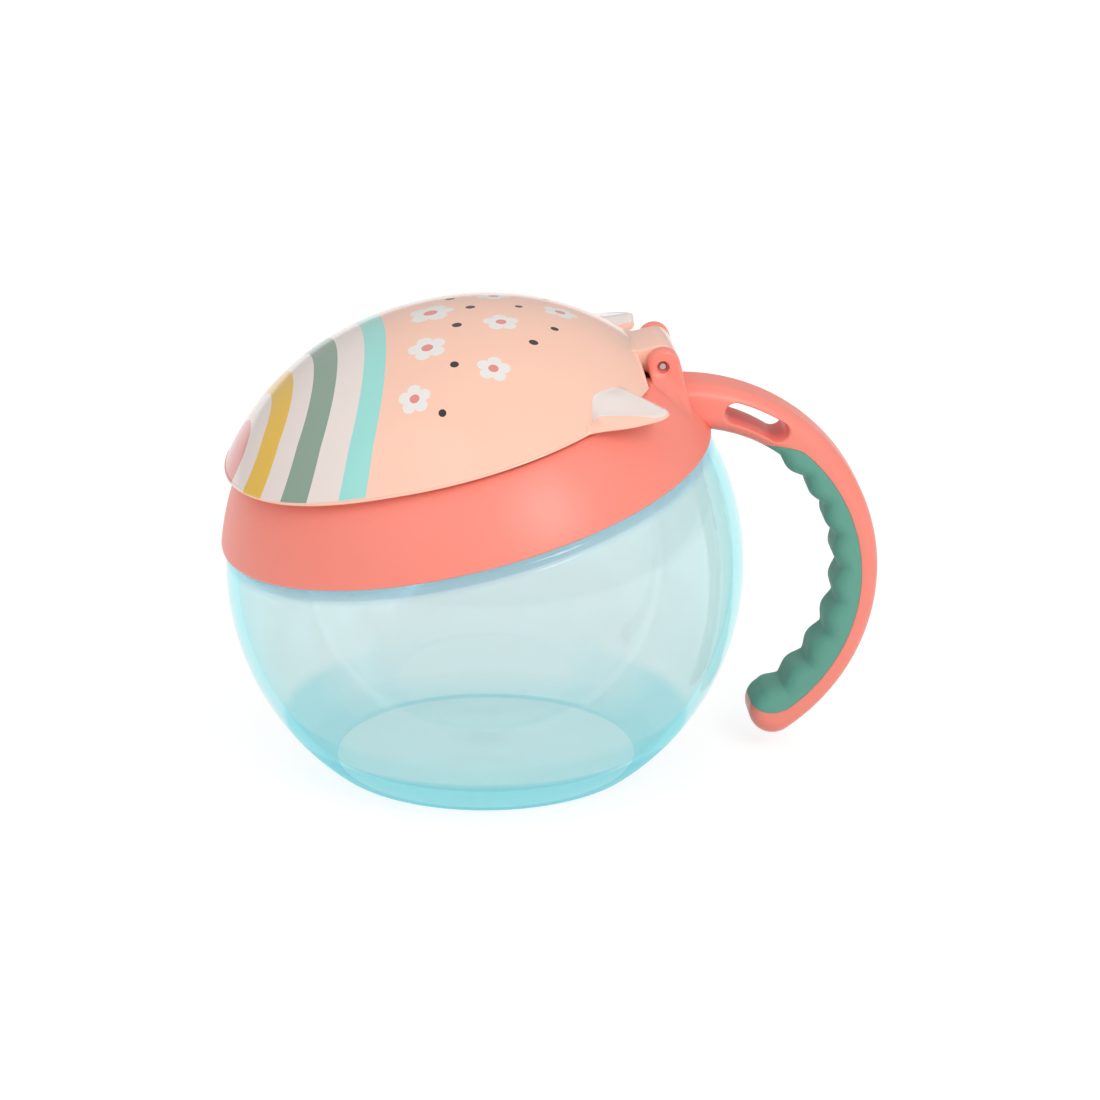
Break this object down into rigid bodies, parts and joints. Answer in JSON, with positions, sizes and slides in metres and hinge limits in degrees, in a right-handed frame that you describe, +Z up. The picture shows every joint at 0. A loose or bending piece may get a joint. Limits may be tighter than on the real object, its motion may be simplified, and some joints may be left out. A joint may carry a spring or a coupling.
{
  "type": "toddler snack container",
  "caption": "Ball-shaped clear snack cup for a toddler, with a screw-on collar, a C-shaped handle with a soft ridged grip, a hinged dome lid with two ear lobes, and a soft insert with flaps.",
  "frame": {"origin": "centre of the flat base, on the table, straight under the centre of the ball-shaped bowl", "axes": "+Z up, +X towards the hinge and the handle, +Y completes a right-handed frame; the part is symmetric about the plane Y = 0"},
  "size_m": [0.1219, 0.096, 0.0874],
  "materials": {
    "clear_bowl": "clear pale aqua moulding, polished",
    "coral_plastic": "satin with a fine moulded texture",
    "steel_pin": "ground steel",
    "printed_lid": "glossy peach moulding with a printed pattern",
    "soft_grip": "matte soft-touch elastomer",
    "soft_insert": "soft matte elastomer"
  },
  "bodies": {
    "bowl": {"bowl": "clear_bowl"},
    "insert": {"flap_insert": "soft_insert"},
    "collar": {"collar": "coral_plastic", "hinge_pin": "steel_pin", "handle_frame": "coral_plastic", "handle_grip": "soft_grip"},
    "lid": {"lid": "printed_lid"},
    "flap_1": {"flap_1": "soft_insert"},
    "flap_2": {"flap_2": "soft_insert"},
    "flap_3": {"flap_3": "soft_insert"},
    "flap_4": {"flap_4": "soft_insert"},
    "flap_5": {"flap_5": "soft_insert"},
    "flap_6": {"flap_6": "soft_insert"}
  },
  "joints": [
    {"name": "collar_lift", "type": "slide", "parent": "bowl", "child": "insert", "axis": [-0.2284, 0, 0.9736], "range_m": [0, 0.0041]},
    {"name": "collar_turn", "type": "hinge", "parent": "insert", "child": "collar", "pos_m": [-0.00635, 0, 0.06506], "axis": [-0.2284, 0, 0.9736], "range_deg": [0, 90]},
    {"name": "lid_hinge", "type": "hinge", "parent": "collar", "child": "lid", "pos_m": [0.03188, 0, 0.07773], "axis": [0, 1, 0], "range_deg": [0, 125]},
    {"name": "flap_1_bend", "type": "hinge", "parent": "insert", "child": "flap_1", "pos_m": [0.00565, 0.02108, 0.06721], "axis": [0.8431, -0.5, 0.1978], "range_deg": [-35, 70], "stiffness_Nm_per_rad": 0.003},
    {"name": "flap_2_bend", "type": "hinge", "parent": "insert", "child": "flap_2", "pos_m": [-0.01805, 0.02108, 0.06165], "axis": [0.8431, 0.5, 0.1978], "range_deg": [-35, 70], "stiffness_Nm_per_rad": 0.003},
    {"name": "flap_3_bend", "type": "hinge", "parent": "insert", "child": "flap_3", "pos_m": [-0.0299, 0, 0.05887], "axis": [0, 1, 0], "range_deg": [-35, 70], "stiffness_Nm_per_rad": 0.003},
    {"name": "flap_4_bend", "type": "hinge", "parent": "insert", "child": "flap_4", "pos_m": [-0.01805, -0.02108, 0.06165], "axis": [-0.8431, 0.5, -0.1978], "range_deg": [-35, 70], "stiffness_Nm_per_rad": 0.003},
    {"name": "flap_5_bend", "type": "hinge", "parent": "insert", "child": "flap_5", "pos_m": [0.00565, -0.02108, 0.06721], "axis": [-0.8431, -0.5, -0.1978], "range_deg": [-35, 70], "stiffness_Nm_per_rad": 0.003},
    {"name": "flap_6_bend", "type": "hinge", "parent": "insert", "child": "flap_6", "pos_m": [0.0175, 0, 0.06999], "axis": [0, -1, 0], "range_deg": [-35, 70], "stiffness_Nm_per_rad": 0.003}
  ],
  "couplings": [
    {"joint": "collar_lift", "follows": "collar_turn", "m_per_rad": 0.0025465}
  ]
}
